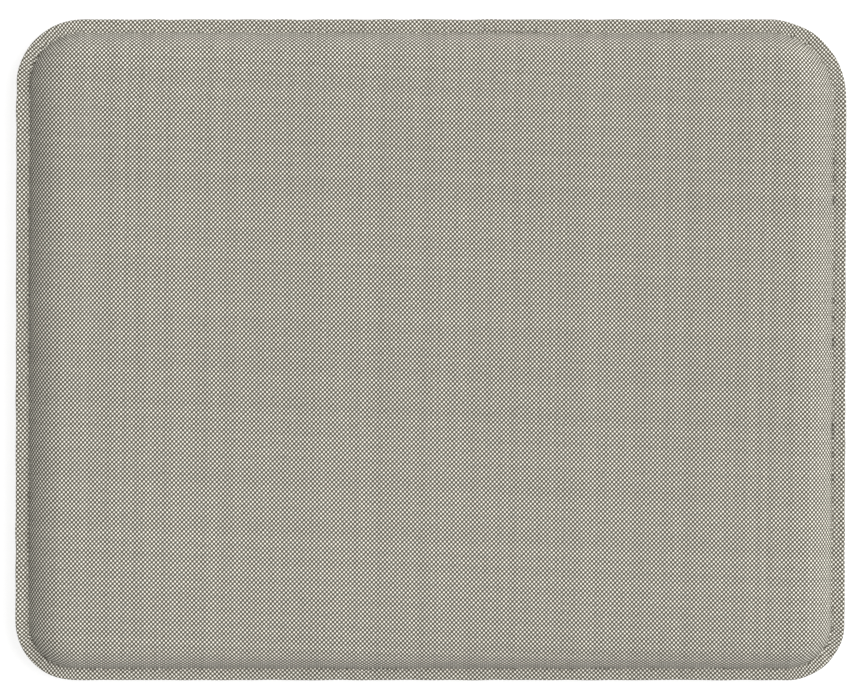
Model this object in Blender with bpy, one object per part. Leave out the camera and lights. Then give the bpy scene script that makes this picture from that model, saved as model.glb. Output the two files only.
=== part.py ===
"""Kneeling pad: a foam block in wadding, inside a woven canvas cover.

The cover is a top panel and a two-piece underside, joined by a flat stitched flange
all round the middle of the edge. A zip is let into the underside, near the rear edge,
so that the cover comes off for washing.

Metres. +X runs along the pad, +Y points to its rear edge and +Z up. The origin is
below the middle of the pad, on the floor that it rests on.
"""

import math

import bmesh
import bpy

# Pad
PAD_LENGTH = 0.450
PAD_WIDTH = 0.360
THICKNESS = 0.030
REAR_CORNER_RADIUS = 0.038
FRONT_CORNER_RADIUS = 0.032
INNER_CORNER_RADIUS = 0.009  # the least radius of a ring that is drawn well in

# Cover: the top bulges over the wall in a squared curve, then crowns a little
SHOULDER_REACH = 0.026
SHOULDER_SQUARENESS = 2.3
CROWN_RISE = 0.0007
CROWN_WIDTH = 0.040
FABRIC = 0.0007
WADDING = 0.003

# Flange: top layer, its turned-in edge, the lower turned-in edge, lower layer
SEAM_HEIGHT = 0.0146
FLANGE_WIDTH = 0.0075
FLANGE_DROP = 0.0030
FLANGE_ALLOWANCE = 0.0055
LAYER_GAP = 0.0003
STITCH_INSET = 0.0066
STITCH_THREAD = 0.0005
EDGE_THREAD = 0.0003
CLEARANCE = 0.0003

# Zip opening, in the underside
ZIP_TO_REAR_EDGE = 0.060
ZIP_END_MARGIN = 0.052
OPENING_CORNER_RADIUS = 0.0045
SLIDER_SIDE_PLAY = 0.0012
LIP_TURN = 0.0060
LIP_FLAT = 0.0040
LIP_SLOPE = 0.0085
ZIP_STITCH_SPREAD = 0.0026
GROOVE_MARGIN = 0.0010

# Zip chain
COIL_WIDTH = 0.0026
COIL_HEIGHT = 0.0022
CHAIN_GAP = 0.0003
TAPE = 0.0005
TAPE_WIDTH = 0.0131
TAPE_EDGE_GAP = 0.0004
TAPE_OVERRUN = 0.003
STOP_LENGTH = 0.0027
STOP_PROUD = 0.0001
TOP_STOP_MARGIN = 0.012

# Slider and pull
SLIDER_LENGTH = 0.0115
SLIDER_PLATE = 0.0010
SLIDER_PLAY = 0.0005
SLIDER_SIDE = 0.0008
SLIDER_SIDE_HEIGHT = 0.0025
SLIDER_CHAMFER = 0.0006
WEDGE_WIDTH = 0.0016
WEDGE_NOSE_WIDTH = 0.0005
PARTING_BEHIND = 0.0043  # from the slider's middle back to where the chain closes
PARTING_AHEAD = 0.0017  # and on to where its sides are fully apart
BAIL_WIDTH = 0.0024
BAIL_STRAP = 0.0007
BAIL_FOOT = 0.0013
BAIL_OPENING_LENGTH = 0.0033
BAIL_FLOOR_CLEARANCE = 0.0006
PULL_BAR = 0.0012
PULL_BAR_PLAY = 0.00025
PULL_LENGTH = 0.024
PULL_WIDTH = 0.0066
PULL_THICKNESS = 0.0010
PULL_CORNER_RADIUS = 0.0022
PULL_ARM = 0.0015

# Small trim
BAR_TACK_LENGTH = 0.008
BAR_TACK_WIDTH = 0.0013
BAR_TACK_THICKNESS = 0.0005
BAR_TACK_MARGIN = 0.0005
LABEL_LENGTH = 0.030
LABEL_WIDTH = 0.012
LABEL_THICKNESS = 0.0003
LABEL_X = -0.060

# Facets
CORNER_STEPS = 6
SKIN_STEPS = 8
FILLING_STEPS = 5
FOLD_STEPS = 4
THREAD_SIDES = 6
BAR_SIDES = 12
PARTING_STEPS = 6

# Flange layers, as heights above or below the flange's middle
FOLD_RADIUS = FABRIC + LAYER_GAP / 2
FOLD_HEIGHT = LAYER_GAP / 2 + FOLD_RADIUS
FLANGE_FACE = FOLD_HEIGHT + FOLD_RADIUS
WADDING_DEPTH = FABRIC + CLEARANCE
FOAM_DEPTH = WADDING_DEPTH + WADDING + CLEARANCE

# Heights in the zip, counted up from the floor
BAIL_OPENING = PULL_BAR + 2 * PULL_BAR_PLAY
SLIDER_Z = BAIL_FLOOR_CLEARANCE + BAIL_STRAP + BAIL_OPENING
COIL_Z = SLIDER_Z + SLIDER_PLATE + SLIDER_PLAY
TAPE_Z = COIL_Z + COIL_HEIGHT + CLEARANCE
LIP_INNER_Z = TAPE_Z - CLEARANCE
LIP_FOLD_Z = LIP_INNER_Z - FOLD_RADIUS
LIP_Z = LIP_FOLD_Z - FOLD_RADIUS
INNER_PLATE_Z = TAPE_Z + TAPE + SLIDER_PLAY
GROOVE_Z = INNER_PLATE_Z + SLIDER_PLATE + SLIDER_PLAY

# Widths in the zip, counted out from its middle line
PARTING = (WEDGE_WIDTH - CHAIN_GAP) / 2 + CLEARANCE
CHAIN_HALF = CHAIN_GAP / 2 + COIL_WIDTH
SIDE_HALF = CHAIN_HALF + CLEARANCE
SLIDER_HALF = SIDE_HALF + SLIDER_SIDE
OPENING_HALF_WIDTH = SLIDER_HALF + PARTING + SLIDER_SIDE_PLAY
RECESS_SPREAD = LIP_FLAT + LIP_SLOPE
GROOVE_SPREAD = RECESS_SPREAD + GROOVE_MARGIN

# Places along the zip
ZIP_Y = PAD_WIDTH / 2 - ZIP_TO_REAR_EDGE
OPENING_HALF_LENGTH = PAD_LENGTH / 2 - ZIP_END_MARGIN
TOP_STOP_X = OPENING_HALF_LENGTH - TOP_STOP_MARGIN - STOP_LENGTH
COIL_END_X = TOP_STOP_X - CLEARANCE
SLIDER_X = COIL_END_X - SLIDER_LENGTH / 2
PARTING_START_X = SLIDER_X - PARTING_BEHIND
PARTING_END_X = SLIDER_X + PARTING_AHEAD
HINGE_OFFSET_X = (PULL_BAR - BAIL_OPENING_LENGTH) / 2 + CLEARANCE
HINGE_DROP = BAIL_OPENING / 2

# The open slider stops where its pull still lies in the level part of the recess
PULL_TAIL_X = CLEARANCE - OPENING_HALF_LENGTH - LIP_FLAT
COIL_START_X = PULL_TAIL_X + PULL_LENGTH - HINGE_OFFSET_X - SLIDER_LENGTH / 2
BOTTOM_STOP_X = COIL_START_X - CLEARANCE - STOP_LENGTH

SMOOTH_ANGLE = math.radians(40)

CANVAS = (0.37, 0.35, 0.30, 1)
THREAD = (0.45, 0.43, 0.37, 1)
FOAM = (0.30, 0.32, 0.34, 1)
FIBRE = (0.85, 0.85, 0.83, 1)
TAPE_COLOUR = (0.23, 0.22, 0.19, 1)
COIL_COLOUR = (0.17, 0.16, 0.14, 1)
STEEL = (0.45, 0.44, 0.42, 1)
LABEL_COLOUR = (0.90, 0.90, 0.88, 1)


def material(name, colour, roughness, metallic=0.0):
    """A Principled material."""
    made = bpy.data.materials.new(name)
    made.use_nodes = True
    made.diffuse_color = colour
    shader = made.node_tree.nodes["Principled BSDF"]
    shader.inputs["Base Color"].default_value = colour
    shader.inputs["Roughness"].default_value = roughness
    shader.inputs["Metallic"].default_value = metallic
    return made


def add_object(name, bm, finish):
    """Turn a bmesh into a named object, smooth across its shallow edges."""
    bmesh.ops.recalc_face_normals(bm, faces=bm.faces)
    mesh = bpy.data.meshes.new(name)
    bm.to_mesh(mesh)
    bm.free()
    mesh.materials.append(finish)
    mesh.shade_smooth()
    mesh.set_sharp_from_angle(angle=SMOOTH_ANGLE)
    made = bpy.data.objects.new(name, mesh)
    bpy.context.scene.collection.objects.link(made)
    return made


def loft_mesh(rings, closed=False):
    """Skin rings of equal length: round a closed loop, or between two flat ends."""
    bm = bmesh.new()
    loops = [[bm.verts.new(point) for point in ring] for ring in rings]
    pairs = list(zip(loops, loops[1:]))
    if closed:
        pairs.append((loops[-1], loops[0]))
    else:
        bm.faces.new(loops[0])
        bm.faces.new(loops[-1])
    for ring, following in pairs:
        for index, vertex in enumerate(ring):
            other = (index + 1) % len(ring)
            bm.faces.new((vertex, ring[other], following[other], following[index]))
    return bm


def loft(name, rings, finish, closed=False):
    """A named object skinned over rings."""
    return add_object(name, loft_mesh(rings, closed), finish)


def rounded_ring(half_x, half_y, rear_radius, front_radius, centre_y, z):
    """A rounded rectangle's points, anticlockwise from its right rear corner."""
    corners = (
        (1, 1, rear_radius, 0),
        (-1, 1, rear_radius, 90),
        (-1, -1, front_radius, 180),
        (1, -1, front_radius, 270),
    )
    ring = []
    for side_x, side_y, radius, start in corners:
        for step in range(CORNER_STEPS + 1):
            angle = math.radians(start + 90 * step / CORNER_STEPS)
            x = side_x * (half_x - radius) + radius * math.cos(angle)
            y = side_y * (half_y - radius) + radius * math.sin(angle)
            ring.append((x, centre_y + y, z))
    return ring


def pad_ring(inset, z):
    """The pad's outline, drawn in by inset, at height z."""
    return rounded_ring(
        PAD_LENGTH / 2 - inset,
        PAD_WIDTH / 2 - inset,
        max(REAR_CORNER_RADIUS - inset, INNER_CORNER_RADIUS),
        max(FRONT_CORNER_RADIUS - inset, INNER_CORNER_RADIUS),
        0,
        z,
    )


def zip_ring(spread, z):
    """The zip opening's outline, let out by spread, at height z."""
    return rounded_ring(
        OPENING_HALF_LENGTH + spread,
        OPENING_HALF_WIDTH + spread,
        OPENING_CORNER_RADIUS + spread,
        OPENING_CORNER_RADIUS + spread,
        ZIP_Y,
        z,
    )


def flange_z(inset, rise):
    """Height of a point in the drooping flange, rise above its middle."""
    return SEAM_HEIGHT + FLANGE_DROP * (inset / FLANGE_WIDTH - 1) + rise


def shoulder(side, steps):
    """The cover's outer face, from the flange to its flat, as (inset, height) points.

    side is 1 for the top and -1 for the underside.
    """
    start = flange_z(FLANGE_WIDTH, side * FLANGE_FACE)
    end = THICKNESS - CROWN_RISE if side > 0 else 0
    power = 2 / SHOULDER_SQUARENESS
    points = []
    for step in range(steps + 1):
        angle = math.pi / 2 * step / steps
        inset = FLANGE_WIDTH + SHOULDER_REACH * (1 - abs(math.cos(angle)) ** power)
        points.append((inset, start + (end - start) * math.sin(angle) ** power))
    return points


def crown():
    """The gentle rise from the shoulder to the flat middle of the top."""
    edge = FLANGE_WIDTH + SHOULDER_REACH
    points = []
    for share in (0.4, 1.0):
        height = THICKNESS - CROWN_RISE * (1 - share) ** 2
        points.append((edge + CROWN_WIDTH * share, height))
    return points


def inward(profile, side, depth):
    """A profile of (inset, height) points, moved in from the cover's face by depth."""
    moved = []
    for index, (inset, height) in enumerate(profile):
        before = profile[max(index - 1, 0)]
        after = profile[min(index + 1, len(profile) - 1)]
        run = after[0] - before[0]
        rise = after[1] - before[1]
        length = math.hypot(run, rise)
        moved.append((inset + side * depth * rise / length, height - side * depth * run / length))
    moved[-1] = (profile[-1][0], profile[-1][1] - side * depth)
    return moved


def top_profile(depth, steps):
    """The top, from the flange to its flat middle, at a depth below its face."""
    return inward(shoulder(1, steps) + crown(), 1, depth)


def underside_profile(depth, steps):
    """The underside, from the flange to its flat, at a depth behind its face."""
    return inward(shoulder(-1, steps), -1, depth)


def flange_fold(side, radius, steps):
    """The round fold of one panel at the flange's edge, from outside to inside."""
    points = []
    for step in range(steps + 1):
        angle = math.pi * step / steps
        inset = FOLD_RADIUS - radius * math.sin(angle)
        rise = side * (FOLD_HEIGHT + radius * math.cos(angle))
        points.append((inset, flange_z(inset, rise)))
    return points


def flange_layers(side):
    """One panel's way round the flange, outside to inside, with its turned-in edge."""
    outer = flange_fold(side, FOLD_RADIUS, FOLD_STEPS)
    inner = flange_fold(side, LAYER_GAP / 2, 2)
    edge = [
        (FLANGE_ALLOWANCE, flange_z(FLANGE_ALLOWANCE, side * LAYER_GAP / 2)),
        (FLANGE_ALLOWANCE, flange_z(FLANGE_ALLOWANCE, side * (LAYER_GAP / 2 + FABRIC))),
    ]
    return outer + edge + inner[::-1]


def pad_rings(profile):
    """Rings round the pad for a list of (inset, height) points."""
    return [pad_ring(inset, z) for inset, z in profile]


def lip_rings(outside):
    """Rings of the underside's turned lip round the zip, on one face of the fabric."""
    radius = FOLD_RADIUS if outside else LAYER_GAP / 2
    depth = 0 if outside else FABRIC
    points = [(RECESS_SPREAD, depth), (LIP_FLAT, LIP_Z + depth)]
    for step in range(FOLD_STEPS + 1):
        angle = math.pi * step / FOLD_STEPS
        spread = FOLD_RADIUS - radius * math.sin(angle)
        points.append((spread, LIP_FOLD_Z - radius * math.cos(angle)))
    points.append((LIP_TURN, LIP_FOLD_Z + radius))
    return [zip_ring(spread, z) for spread, z in points]


def make_top_panel(finish):
    """The top: a shallow dish of fabric, turned in at the flange."""
    outside = top_profile(0, SKIN_STEPS)[::-1]
    inside = top_profile(FABRIC, SKIN_STEPS)
    loft("top_panel", pad_rings(outside + flange_layers(1) + inside), finish)


def make_underside(finish):
    """The two underside panels, parted along the zip and its end seams."""
    outside = pad_rings(underside_profile(0, SKIN_STEPS)[::-1])
    inside = pad_rings(underside_profile(FABRIC, SKIN_STEPS))
    flange = pad_rings(flange_layers(-1))
    rings = lip_rings(True)[::-1] + outside + flange + inside + lip_rings(False)
    for name, side in (("bottom_panel_front", 1), ("bottom_panel_rear", -1)):
        bm = loft_mesh(rings, closed=True)
        bmesh.ops.bisect_plane(
            bm,
            geom=bm.verts[:] + bm.edges[:] + bm.faces[:],
            plane_co=(0, ZIP_Y - side * CLEARANCE / 2, 0),
            plane_no=(0, side, 0),
            clear_outer=True,
        )
        rim = [edge for edge in bm.edges if edge.is_boundary]
        bmesh.ops.edgeloop_fill(bm, edges=rim)
        add_object(name, bm, finish)


def make_foam_core(finish):
    """The foam block, with a groove over the zip."""
    lower = underside_profile(FOAM_DEPTH, FILLING_STEPS)[::-1]
    upper = top_profile(FOAM_DEPTH, FILLING_STEPS)
    core = loft("foam_core", pad_rings(lower + upper), finish)
    groove = loft("groove_cutter", [zip_ring(GROOVE_SPREAD, z) for z in (0, GROOVE_Z)], finish)
    groove.hide_render = True
    groove.display_type = "WIRE"
    cut = core.modifiers.new("groove", "BOOLEAN")
    cut.operation = "DIFFERENCE"
    cut.object = groove


def make_wadding(finish):
    """The two wadding sheets that wrap the foam, the lower one open over the zip."""
    over = top_profile(WADDING_DEPTH, FILLING_STEPS)[::-1]
    under = top_profile(WADDING_DEPTH + WADDING, FILLING_STEPS)
    loft("wadding_top", pad_rings(over + under), finish)
    below = underside_profile(WADDING_DEPTH, FILLING_STEPS)[::-1]
    above = underside_profile(WADDING_DEPTH + WADDING, FILLING_STEPS)
    slot = [zip_ring(GROOVE_SPREAD, WADDING_DEPTH + WADDING), zip_ring(GROOVE_SPREAD, WADDING_DEPTH)]
    loft("wadding_bottom", pad_rings(below + above) + slot, finish, closed=True)


def make_thread_ring(name, path, diameter, finish):
    """A seam's thread: a round tube along a closed, level path."""
    sections = []
    count = len(path)
    for index, (x, y, z) in enumerate(path):
        before = path[index - 1]
        after = path[(index + 1) % count]
        back = math.hypot(x - before[0], y - before[1])
        on = math.hypot(after[0] - x, after[1] - y)
        run = (x - before[0]) / back + (after[0] - x) / on
        rise = (y - before[1]) / back + (after[1] - y) / on
        length = math.hypot(run, rise)
        section = []
        for side in range(THREAD_SIDES):
            angle = math.tau * side / THREAD_SIDES
            reach = diameter / 2 * math.cos(angle)
            height = z + diameter / 2 * math.sin(angle)
            section.append((x + reach * rise / length, y - reach * run / length, height))
        sections.append(section)
    loft(name, sections, finish, closed=True)


def make_flange_threads(finish):
    """The top stitching's two threads, and the seam at the flange's edge."""
    lay = CLEARANCE + STITCH_THREAD / 2
    for name, side in (("flange_needle_thread", 1), ("flange_bobbin_thread", -1)):
        height = flange_z(STITCH_INSET, side * (FLANGE_FACE + lay))
        make_thread_ring(name, pad_ring(STITCH_INSET, height), STITCH_THREAD, finish)
    inset = EDGE_THREAD / 2
    make_thread_ring("edge_seam_thread", pad_ring(inset, flange_z(inset, 0)), EDGE_THREAD, finish)


def parting(x):
    """How far the slider's wedge holds each side of the zip off the middle line."""
    share = (x - PARTING_START_X) / (PARTING_END_X - PARTING_START_X)
    share = min(max(share, 0), 1)
    return PARTING * share * share * (3 - 2 * share)


def zip_stations(start, end):
    """Places along the zip, close together where its sides part."""
    span = PARTING_END_X - PARTING_START_X
    bend = [PARTING_START_X + span * step / PARTING_STEPS for step in range(PARTING_STEPS + 1)]
    return [start] + bend + [end]


def make_zip_side(name, side, finishes):
    """One tape and its coil. side is 1 for the rear and -1 for the front."""
    tape_finish, coil_finish = finishes
    tape_end = OPENING_HALF_LENGTH + TAPE_OVERRUN
    strips = (
        ("zip_tape_" + name, tape_finish, -tape_end, tape_end, TAPE_EDGE_GAP, TAPE_WIDTH, TAPE_Z, TAPE),
        (
            "zip_coil_" + name,
            coil_finish,
            COIL_START_X,
            COIL_END_X,
            CHAIN_GAP / 2,
            COIL_WIDTH,
            COIL_Z,
            COIL_HEIGHT,
        ),
    )
    for strip, finish, start, end, inner, width, low, height in strips:
        outer = inner + width
        sections = []
        for x in zip_stations(start, end):
            aside = parting(x)
            # A tape's sewn edge stays put, and a coil keeps its width
            edge = outer if height == TAPE else outer + aside
            sections.append(
                [
                    (x, ZIP_Y + side * (inner + aside), low),
                    (x, ZIP_Y + side * edge, low),
                    (x, ZIP_Y + side * edge, low + height),
                    (x, ZIP_Y + side * (inner + aside), low + height),
                ]
            )
        loft(strip, sections, finish)


def prism(name, outline, low, high, finish, axis="z"):
    """A flat outline pulled between two levels along Z, or along Y."""
    rings = []
    for level in (low, high):
        if axis == "z":
            rings.append([(a, b, level) for a, b in outline])
        else:
            rings.append([(a, level, b) for a, b in outline])
    return loft(name, rings, finish)


def box(name, low, high, finish):
    """A plain block between two corners."""
    outline = ((low[0], low[1]), (high[0], low[1]), (high[0], high[1]), (low[0], high[1]))
    return prism(name, outline, low[2], high[2], finish)


def mirrored(half):
    """An outline's right half, and the same points on the left."""
    return half + [(x, -y) for x, y in reversed(half)]


def join(base, others):
    """Union other shapes into the first, and leave them as hidden tools."""
    for other in others:
        modifier = base.modifiers.new(other.name, "BOOLEAN")
        modifier.operation = "UNION"
        modifier.object = other
        other.hide_render = True
        other.display_type = "WIRE"


def add_frame(name, location, parent=None):
    """An empty on a joint's axis."""
    frame = bpy.data.objects.new(name, None)
    bpy.context.scene.collection.objects.link(frame)
    frame.parent = parent
    frame.location = location
    return frame


def make_slider(finish):
    """The slider: two plates, a wedge between them, side flanges and a bail.

    It is built round its own frame: the outer plate's outer face is at height 0.
    """
    front = SLIDER_LENGTH / 2
    taper_start = PARTING_START_X - SLIDER_X
    taper_end = PARTING_END_X - SLIDER_X
    wide = SLIDER_HALF + PARTING
    plate = mirrored(
        [
            (-front, SLIDER_HALF - SLIDER_CHAMFER),
            (-front + SLIDER_CHAMFER, SLIDER_HALF),
            (taper_start, SLIDER_HALF),
            (taper_end, wide),
            (front - SLIDER_CHAMFER, wide),
            (front, wide - SLIDER_CHAMFER),
        ]
    )
    sink = SLIDER_PLATE / 3
    outer = prism("zip_slider", plate, 0, SLIDER_PLATE, finish)
    inner_low = INNER_PLATE_Z - SLIDER_Z
    tools = [prism("slider_inner_plate", plate, inner_low, inner_low + SLIDER_PLATE, finish)]
    for name, side in (("slider_rear_flange", 1), ("slider_front_flange", -1)):
        flange = (
            (-front + SLIDER_CHAMFER, side * SIDE_HALF),
            (taper_start, side * SIDE_HALF),
            (taper_end, side * (SIDE_HALF + PARTING)),
            (front - SLIDER_CHAMFER, side * (SIDE_HALF + PARTING)),
            (front - 2 * SLIDER_CHAMFER, side * (wide - CLEARANCE / 2)),
            (taper_end, side * (wide - CLEARANCE / 2)),
            (taper_start, side * (SLIDER_HALF - CLEARANCE / 2)),
            (-front + 2 * SLIDER_CHAMFER, side * (SLIDER_HALF - CLEARANCE / 2)),
        )
        top = SLIDER_PLATE + SLIDER_SIDE_HEIGHT
        tools.append(prism(name, flange, SLIDER_PLATE - sink, top, finish))
    wedge = mirrored(
        [
            (-SLIDER_CHAMFER, WEDGE_NOSE_WIDTH / 2),
            (taper_end, WEDGE_WIDTH / 2),
            (front - 2 * SLIDER_CHAMFER, WEDGE_WIDTH / 2),
            (front - SLIDER_CHAMFER, WEDGE_WIDTH / 4),
        ]
    )
    tools.append(prism("slider_wedge", wedge, SLIDER_PLATE - sink, inner_low + sink, finish))
    inside = BAIL_OPENING_LENGTH / 2
    outside = inside + BAIL_FOOT
    bail = (
        (-outside, sink),
        (-outside, BAIL_STRAP - BAIL_OPENING),
        (-outside + BAIL_STRAP, -BAIL_OPENING - BAIL_STRAP),
        (outside - BAIL_STRAP, -BAIL_OPENING - BAIL_STRAP),
        (outside, BAIL_STRAP - BAIL_OPENING),
        (outside, sink),
        (inside, sink),
        (inside, -BAIL_OPENING),
        (-inside, -BAIL_OPENING),
        (-inside, sink),
    )
    tools.append(prism("slider_bail", bail, -BAIL_WIDTH / 2, BAIL_WIDTH / 2, finish, "y"))
    join(outer, tools)
    frame = add_frame("slider_frame", (SLIDER_X, ZIP_Y, SLIDER_Z))
    for piece in [outer] + tools:
        piece.parent = frame
    return frame


def make_pull(slider_frame, finish):
    """The pull: a flat tab with a round bar through the bail, lying over the chain."""
    half = PULL_WIDTH / 2
    eye_half = half - PULL_ARM
    bail_reach = BAIL_OPENING_LENGTH / 2 + BAIL_FOOT - HINGE_OFFSET_X
    eye_length = math.hypot(bail_reach, BAIL_OPENING / 2 + BAIL_STRAP) + CLEARANCE
    corner = []
    for step in range(CORNER_STEPS + 1):
        angle = math.pi / 2 * (1 + step / CORNER_STEPS)
        x = PULL_CORNER_RADIUS - PULL_LENGTH + PULL_CORNER_RADIUS * math.cos(angle)
        corner.append((x, half - PULL_CORNER_RADIUS + PULL_CORNER_RADIUS * math.sin(angle)))
    tab = mirrored([(-eye_length, eye_half), (0, eye_half), (0, half)] + corner)
    pull = prism("zip_pull", tab, -PULL_THICKNESS / 2, PULL_THICKNESS / 2, finish)
    outline = []
    for side in range(BAR_SIDES):
        angle = math.tau * (side + 0.5) / BAR_SIDES
        outline.append((PULL_BAR / 2 * math.cos(angle), PULL_BAR / 2 * math.sin(angle)))
    reach = half - PULL_ARM / 4
    bar = prism("pull_bar", outline, -reach, reach, finish, "y")
    join(pull, [bar])
    frame = add_frame("pull_frame", (HINGE_OFFSET_X, 0, -HINGE_DROP), slider_frame)
    pull.parent = frame
    bar.parent = frame


def make_stops(finish):
    """The metal stops at the two ends of the chain."""
    low = COIL_Z - STOP_PROUD
    high = TAPE_Z - CLEARANCE
    reach = CHAIN_HALF + STOP_PROUD
    box(
        "zip_bottom_stop",
        (BOTTOM_STOP_X, ZIP_Y - reach, low),
        (BOTTOM_STOP_X + STOP_LENGTH, ZIP_Y + reach, high),
        finish,
    )
    for name, side in (("zip_top_stop_rear", 1), ("zip_top_stop_front", -1)):
        sides = (side * (CHAIN_GAP / 2 + PARTING), side * (reach + PARTING))
        box(
            name,
            (TOP_STOP_X, ZIP_Y + min(sides), low),
            (TOP_STOP_X + STOP_LENGTH, ZIP_Y + max(sides), high),
            finish,
        )


def make_zip_stitching(finish):
    """The thread that sews the tapes to the lips, and a bar tack at each end."""
    height = LIP_Z - CLEARANCE - STITCH_THREAD / 2
    path = zip_ring(ZIP_STITCH_SPREAD, height)
    make_thread_ring("zip_stitch_thread", path, STITCH_THREAD, finish)
    near = OPENING_HALF_LENGTH + BAR_TACK_MARGIN
    far = near + BAR_TACK_WIDTH
    high = LIP_Z - CLEARANCE
    for name, side in (("zip_bar_tack_right", 1), ("zip_bar_tack_left", -1)):
        box(
            name,
            (min(side * near, side * far), ZIP_Y - BAR_TACK_LENGTH / 2, high - BAR_TACK_THICKNESS),
            (max(side * near, side * far), ZIP_Y + BAR_TACK_LENGTH / 2, high),
            finish,
        )


def make_care_label(finish):
    """A blank label inside the cover, sewn along the rear tape."""
    low = TAPE_Z + TAPE + CLEARANCE
    near = ZIP_Y + SLIDER_HALF + PARTING + CLEARANCE
    box(
        "care_label",
        (LABEL_X - LABEL_LENGTH / 2, near, low),
        (LABEL_X + LABEL_LENGTH / 2, near + LABEL_WIDTH, low + LABEL_THICKNESS),
        finish,
    )


def main():
    for existing in list(bpy.data.objects):
        bpy.data.objects.remove(existing)
    canvas = material("woven_canvas", CANVAS, 0.95)
    thread = material("sewing_thread", THREAD, 0.7)
    steel = material("zip_steel", STEEL, 0.35, 1.0)
    make_top_panel(canvas)
    make_underside(canvas)
    make_foam_core(material("foam", FOAM, 0.9))
    make_wadding(material("polyester_wadding", FIBRE, 0.95))
    make_flange_threads(thread)
    strips = (material("zip_tape", TAPE_COLOUR, 0.85), material("zip_coil", COIL_COLOUR, 0.4))
    make_zip_side("rear", 1, strips)
    make_zip_side("front", -1, strips)
    make_stops(steel)
    make_zip_stitching(thread)
    make_care_label(material("label_cloth", LABEL_COLOUR, 0.8))
    make_pull(make_slider(steel), steel)


main()
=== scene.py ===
"""Kneeling pad: its looks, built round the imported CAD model.

The cover is a skin of rings that runs from the middle of one face over the shoulder,
round the flange's fold and back along the inside. The canvas is a plain weave drawn
from a map named Fabric, which holds where each point lay on the flat cloth, in metres.

Metres, in the CAD's frame: +X along the pad, +Y to its rear edge, +Z up.
"""

import math

import bmesh
import bpy
import numpy as np
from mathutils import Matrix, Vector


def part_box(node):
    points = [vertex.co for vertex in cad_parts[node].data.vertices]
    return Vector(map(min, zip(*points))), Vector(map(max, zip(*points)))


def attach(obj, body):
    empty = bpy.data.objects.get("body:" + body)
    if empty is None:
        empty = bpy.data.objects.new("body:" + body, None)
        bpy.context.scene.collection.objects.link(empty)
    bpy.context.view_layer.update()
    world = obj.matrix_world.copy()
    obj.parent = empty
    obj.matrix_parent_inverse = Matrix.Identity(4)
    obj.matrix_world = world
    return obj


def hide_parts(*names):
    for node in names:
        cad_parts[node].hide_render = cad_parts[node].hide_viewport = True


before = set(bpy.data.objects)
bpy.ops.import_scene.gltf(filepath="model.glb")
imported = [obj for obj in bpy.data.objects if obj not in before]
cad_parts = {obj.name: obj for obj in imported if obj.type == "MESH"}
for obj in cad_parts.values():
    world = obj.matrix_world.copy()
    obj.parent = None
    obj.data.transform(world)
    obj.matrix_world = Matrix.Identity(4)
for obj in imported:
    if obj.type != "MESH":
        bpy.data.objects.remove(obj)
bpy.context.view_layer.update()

# View
CAMERA_DISTANCE = 12.0
CAMERA_TILT = 5.6  # degrees from straight above, towards the rear edge
VIEW_HEIGHT = 0.0150  # the camera aims at this height
VIEW_WIDTH = 0.4657
SENSOR = 36.0

# Light
SKY = (1.0, 1.0, 1.0, 1)
SKY_LEVEL = 0.22  # at the horizon and below
SKY_RISE = 0.38  # and how much more there is straight above
KEY_STRENGTH = 2.75
KEY_ELEVATION = 54.0
KEY_AZIMUTH = 24.6
KEY_SOFTNESS = 50.0
FLOOR_SIZE = 12.0
FLOOR_COLOUR = (0.32, 0.32, 0.32, 1)
FLOOR_SHADE = 0.985  # of its colour, where its grain is darkest
FLOOR_GLOW = 0.8

# Outline: front right, rear right, rear left and front left corners
CORNER_RADII = (0.0314, 0.0422, 0.0357, 0.0325)
LEAN_LEFT = 0.0036
LEAN_RIGHT = 0.0017
LEFT_SHORT = 0.0008
REAR_SHORT = 0.0006
LEAN_INSETS = (0.026, 0.048)  # the lean fades out between these distances from the edge
SIDE_STATIONS = (72, 96, 72, 96)  # right, rear, left, front, on the sparsest ring
INNER_CORNER_RADIUS = 0.009

# Cover, as in the CAD
HALF_LENGTH, HALF_WIDTH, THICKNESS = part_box("top_panel")[1]
FABRIC = 0.0007
WADDING = 0.003
CLEARANCE = 0.0003
LAYER_GAP = 0.0003
SEAM_HEIGHT = 0.0146
FLANGE_ALLOWANCE = 0.0055
SHOULDER_INSET = 0.0335
SHOULDER_RUN_POWERS = (3.4, 5.5, 3.2, 5.5)  # right, rear, left, front (more is squarer)
SHOULDER_RISE_POWER = 1.14  # how upright the wall stands at the seam
CROWN_RISE = 0.0007
CROWN_WIDTH = 0.040
FOLD_RADIUS = FABRIC + LAYER_GAP / 2
FOLD_HEIGHT = LAYER_GAP / 2 + FOLD_RADIUS
FLANGE_FACE = FOLD_HEIGHT + FOLD_RADIUS
WADDING_DEPTH = FABRIC + CLEARANCE
FOAM_DEPTH = WADDING_DEPTH + WADDING + CLEARANCE

# Flange on the right, rear, left and front: its width, and how far its edge droops
FLANGE_WIDTHS = (0.0074, 0.0070, 0.0074, 0.0070)
FLANGE_DROPS = (-0.0004, 0.0012, -0.0004, 0.0016)  # below 0 it rises
FOLD_STEPS = 6
HEM_STEPS = 4

# Top stitching in the seam, and how the cloth gives way to it
STITCH_MARGIN = 0.0008
STITCH_PITCH = 0.0034
STITCH_DENT = 0.00035
STITCH_DENT_WIDTH = 0.0006
STITCH_PULL = 0.4
NEEDLE_THREAD = 0.00042
EDGE_THREAD = 0.0003
STITCH_LIFT = 0.00028
STITCH_GAP = 0.16
STITCH_STEPS = 7
STITCH_TAPER = 0.55  # how thick the thread is where it dives into its hole
EDGE_SEAM_LIFT = 0.0001

# Unevenness of the sewn cloth: size, fewest and most waves round the pad, and seed
FLANGE_WAVE = (0.00035, 9, 40, 3)
EDGE_WOBBLE = (0.00012, 14, 90, 4)
PUCKER = (0.00022, 60, 190, 5)
BOW = (0.00035, 5, 26, 6)
TOP_SWELL = 0.00035
RIPPLES = 14

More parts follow.
